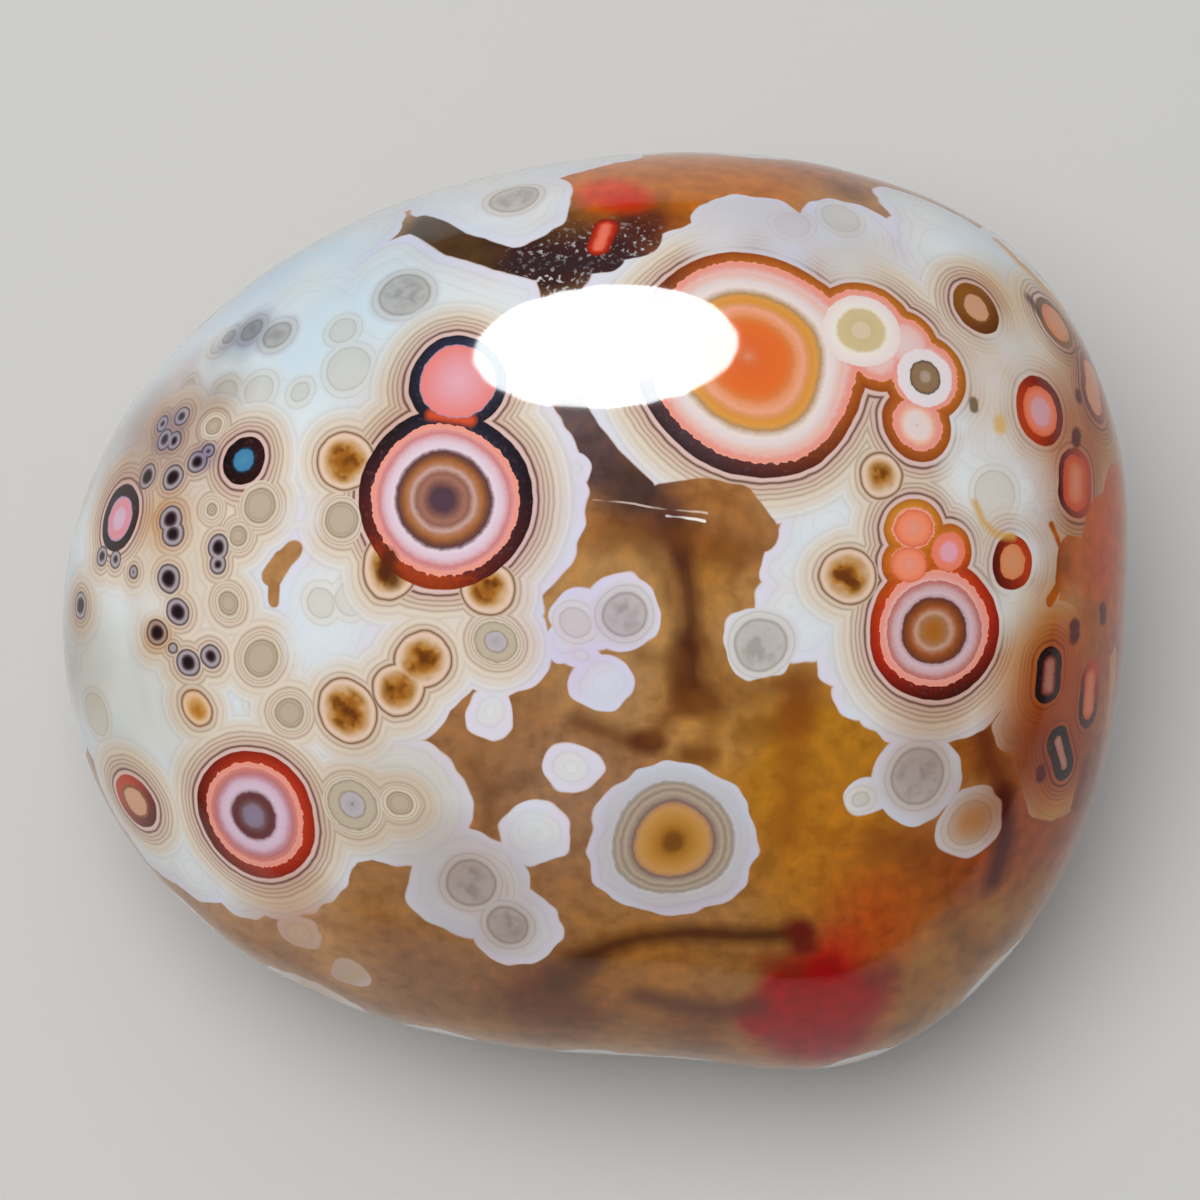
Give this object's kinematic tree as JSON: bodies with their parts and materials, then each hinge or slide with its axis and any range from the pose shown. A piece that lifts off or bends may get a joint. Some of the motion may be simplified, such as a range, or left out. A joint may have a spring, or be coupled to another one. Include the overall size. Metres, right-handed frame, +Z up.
{
  "type": "banded agate tumbled stone",
  "caption": "Polished pebble of eye agate with ringed eyes, contour bands and a golden brown ground, resting on a small flat spot.",
  "frame": {"origin": "middle of the stone's box, at the level of the flat spot that it rests on", "axes": "+X along the stone's length, +Y from the low near edge to the high far edge, +Z up out of the show face"},
  "size_m": [0.0422, 0.0364, 0.025],
  "materials": {
    "polished_agate": "high polish, slightly translucent, banded and eyed in cream, brown, pink, orange and red"
  },
  "bodies": {
    "root": {"stone": "polished_agate"}
  },
  "joints": []
}
